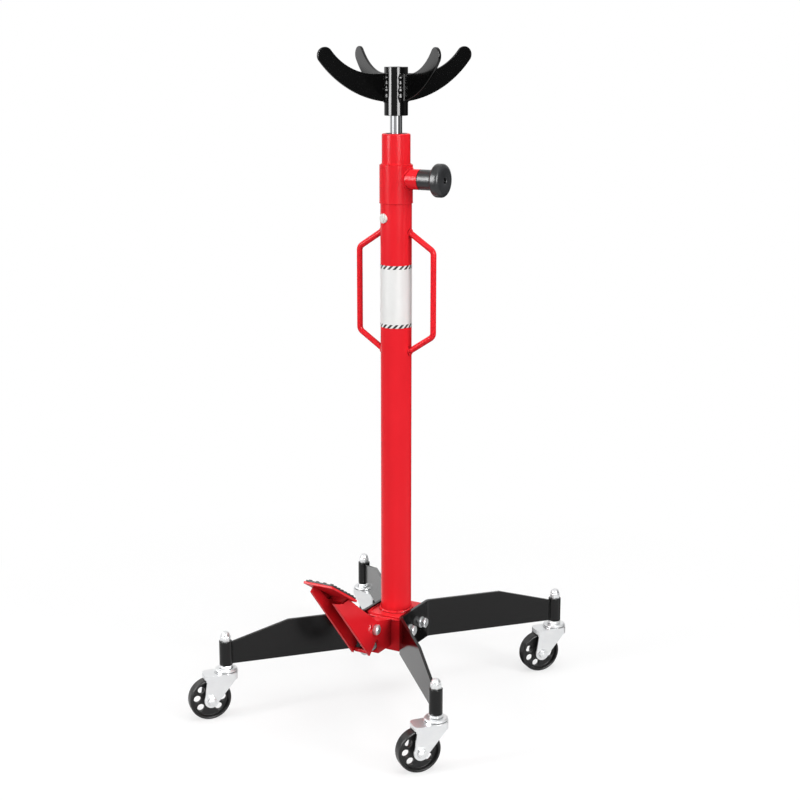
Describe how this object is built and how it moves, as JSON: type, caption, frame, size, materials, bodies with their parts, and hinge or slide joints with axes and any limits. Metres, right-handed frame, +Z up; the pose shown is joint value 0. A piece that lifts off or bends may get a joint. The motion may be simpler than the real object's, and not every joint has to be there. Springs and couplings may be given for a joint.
{
  "type": "transmission jack",
  "caption": "Upright hydraulic transmission jack: red column on a splayed caster base, chrome ram with a swivelling cradle saddle, foot pedal pump, release knob and side handles.",
  "frame": {"origin": "on the floor, on the column axis", "axes": "+Z up along the column; +X toward the right leg, -Y toward the front leg as seen in the picture"},
  "size_m": [0.6992, 0.6594, 1.1166],
  "materials": {
    "red_paint": "gloss red enamel",
    "black_paint": "gloss black enamel",
    "zinc": "bright zinc plate",
    "steel": "turned steel",
    "chrome_rod": "ground hard chrome",
    "bronze": "turned bronze",
    "seal_rubber": "matt rubber",
    "pad_rubber": "matt studded rubber",
    "wheel_plastic": "satin black",
    "knob_plastic": "satin dark grey",
    "plug_plastic": "pale satin",
    "label_film": "white film"
  },
  "bodies": {
    "base": {"hub_box": "red_paint", "hub_lid": "red_paint", "valve_block": "steel", "leg_pair_front": "black_paint", "leg_pair_back": "black_paint", "leg_bolts": "zinc", "leg_washers": "zinc", "spring_washers": "zinc", "caster_posts": "black_paint", "caster_stems": "zinc", "acorn_nuts": "zinc", "jam_nuts": "zinc", "swivel_races": "zinc", "thrust_washers": "zinc", "column_tube": "red_paint", "cylinder_tube": "steel", "collar": "red_paint", "valve_boss": "red_paint", "upper_sleeve": "red_paint", "gland": "bronze", "rod_seal": "seal_rubber", "wiper": "seal_rubber", "filler_plug": "plug_plastic", "label_band": "label_film", "handle_front": "red_paint", "handle_back": "red_paint", "pump_block": "red_paint", "plunger_seal": "seal_rubber"},
    "ram": {"ram_rod": "chrome_rod", "piston": "steel", "piston_seal": "seal_rubber"},
    "saddle": {"saddle_hub": "black_paint", "saddle_arms_wide": "black_paint", "saddle_arms_deep": "black_paint"},
    "knob": {"release_knob": "knob_plastic"},
    "needle": {"valve_needle": "steel"},
    "pedal": {"pedal_arm": "red_paint", "striker_bar": "red_paint", "tread_plate": "red_paint", "tread_pad": "pad_rubber", "pivot_bolt": "zinc", "pivot_nut": "zinc"},
    "plunger": {"pump_plunger": "steel", "pump_spring": "steel"},
    "caster_left": {"fork_left": "zinc", "axle_left": "zinc"},
    "caster_wheel_left": {"wheel_left": "wheel_plastic"},
    "caster_front": {"fork_front": "zinc", "axle_front": "zinc"},
    "caster_wheel_front": {"wheel_front": "wheel_plastic"},
    "caster_right": {"fork_right": "zinc", "axle_right": "zinc"},
    "caster_wheel_right": {"wheel_right": "wheel_plastic"},
    "caster_back": {"fork_back": "zinc", "axle_back": "zinc"},
    "caster_wheel_back": {"wheel_back": "wheel_plastic"}
  },
  "joints": [
    {"name": "ram_lift", "type": "slide", "parent": "base", "child": "ram", "axis": [0, 0, 1], "range_m": [0, 0.7]},
    {"name": "saddle_swivel", "type": "hinge", "parent": "ram", "child": "saddle", "pos_m": [0, 0, 1.05], "axis": [0, 0, 1], "continuous": true},
    {"name": "knob_turn", "type": "hinge", "parent": "base", "child": "knob", "pos_m": [0, 0, 0.904], "axis": [0.7071, -0.7071, 0], "range_deg": [0, 540]},
    {"name": "needle_lift", "type": "slide", "parent": "base", "child": "needle", "axis": [0.7071, -0.7071, 0], "range_m": [0, 0.00226]},
    {"name": "pedal_press", "type": "hinge", "parent": "base", "child": "pedal", "pos_m": [-0.07495, -0.07495, 0.154], "axis": [0.7071, -0.7071, 0], "range_deg": [0, 28], "stiffness_Nm_per_rad": 4, "springref_deg": -28.65},
    {"name": "plunger_push", "type": "slide", "parent": "base", "child": "plunger", "axis": [0.7071, 0.7071, 0], "range_m": [0, 0.0191], "deforming": ["pump_spring"]},
    {"name": "swivel_left", "type": "hinge", "parent": "base", "child": "caster_left", "pos_m": [-0.30625, -0.02142, 0.0765], "axis": [0, 0, 1], "continuous": true},
    {"name": "roll_left", "type": "hinge", "parent": "caster_left", "child": "caster_wheel_left", "pos_m": [-0.33611, -0.02429, 0.036], "axis": [0.0958, -0.9954, 0], "continuous": true},
    {"name": "swivel_front", "type": "hinge", "parent": "base", "child": "caster_front", "pos_m": [-0.02142, -0.30625, 0.0765], "axis": [0, 0, 1], "continuous": true},
    {"name": "roll_front", "type": "hinge", "parent": "caster_front", "child": "caster_wheel_front", "pos_m": [-0.05128, -0.30913, 0.036], "axis": [0.0958, -0.9954, 0], "continuous": true},
    {"name": "swivel_right", "type": "hinge", "parent": "base", "child": "caster_right", "pos_m": [0.30625, 0.02142, 0.0765], "axis": [0, 0, 1], "continuous": true},
    {"name": "roll_right", "type": "hinge", "parent": "caster_right", "child": "caster_wheel_right", "pos_m": [0.27639, 0.01854, 0.036], "axis": [0.0958, -0.9954, 0], "continuous": true},
    {"name": "swivel_back", "type": "hinge", "parent": "base", "child": "caster_back", "pos_m": [0.02142, 0.30625, 0.0765], "axis": [0, 0, 1], "continuous": true},
    {"name": "roll_back", "type": "hinge", "parent": "caster_back", "child": "caster_wheel_back", "pos_m": [0.03642, 0.28027, 0.036], "axis": [0.866, 0.5, 0], "continuous": true}
  ],
  "couplings": [
    {"joint": "needle_lift", "follows": "knob_turn", "m_per_rad": 0.00023873},
    {"joint": "plunger_push", "follows": "pedal_press", "m_per_rad": 0.0389}
  ]
}
